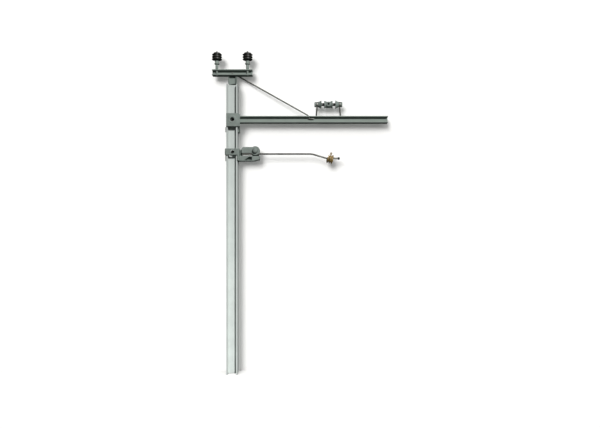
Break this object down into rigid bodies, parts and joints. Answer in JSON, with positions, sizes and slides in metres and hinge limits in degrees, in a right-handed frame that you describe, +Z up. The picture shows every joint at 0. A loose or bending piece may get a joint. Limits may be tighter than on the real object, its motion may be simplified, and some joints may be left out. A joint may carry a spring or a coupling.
{
  "type": "model railway overhead line mast",
  "caption": "Model overhead-line mast: H-section post, crosshead with pin insulators, stayed H-section arm with wire support, and a tilting registration arm on a sliding clamp.",
  "frame": {"origin": "middle of the post's lower end face, on its web", "axes": "+Z up along the post; +X along the arm, away from the post; -Y towards the front plates of the clamps"},
  "size_m": [0.0561, 0.0047, 0.1027],
  "materials": {
    "post_paint": "satin pale grey-green paint on drawn H section",
    "beam_paint": "satin grey-green paint on drawn H section",
    "cast_grey": "matt grey-green moulding",
    "insulator_black": "black ribbed moulding with a soft gloss",
    "insulator_brown": "amber brown moulding, glossy",
    "wire_metal": "drawn wire, slightly tarnished",
    "screw_steel": "blackened steel"
  },
  "bodies": {
    "mast": {"post": "post_paint", "crosshead_neck": "cast_grey", "crosshead_beam": "beam_paint", "crosshead_rivet": "screw_steel", "left_pin": "beam_paint", "left_pin_cup": "beam_paint", "left_pin_insulator": "insulator_black", "right_pin": "beam_paint", "right_pin_cup": "beam_paint", "right_pin_insulator": "insulator_black", "stay_wire": "wire_metal", "upper_clamp": "cast_grey", "upper_clamp_screw": "screw_steel", "arm_beam": "beam_paint", "left_leg": "wire_metal", "left_bell": "cast_grey", "left_end_cap": "cast_grey", "left_spacer": "insulator_black", "left_axle": "screw_steel", "right_leg": "wire_metal", "right_bell": "cast_grey", "right_end_cap": "cast_grey", "right_spacer": "insulator_black", "right_axle": "screw_steel"},
    "wire_saddle": {"messenger_clamp": "cast_grey"},
    "sliding_clamp": {"lower_clamp": "cast_grey", "lower_clamp_screw": "screw_steel", "pivot_screw": "cast_grey"},
    "registration_arm": {"registration_lever": "cast_grey", "registration_wire": "wire_metal", "registration_insulator": "insulator_brown", "registration_ferrule": "screw_steel"}
  },
  "joints": [
    {"name": "clamp_slide", "type": "slide", "parent": "mast", "child": "sliding_clamp", "axis": [0, 0, 1], "range_m": [-0.06, 0.005]},
    {"name": "registration_tilt", "type": "hinge", "parent": "sliding_clamp", "child": "registration_arm", "pos_m": [0.0074, -0.0007, 0.07105], "axis": [0, -1, 0], "range_deg": [-15, 6]},
    {"name": "saddle_rock", "type": "hinge", "parent": "mast", "child": "wire_saddle", "pos_m": [0.03066, 0, 0.0859], "axis": [1, 0, 0], "range_deg": [-30, 30]}
  ]
}
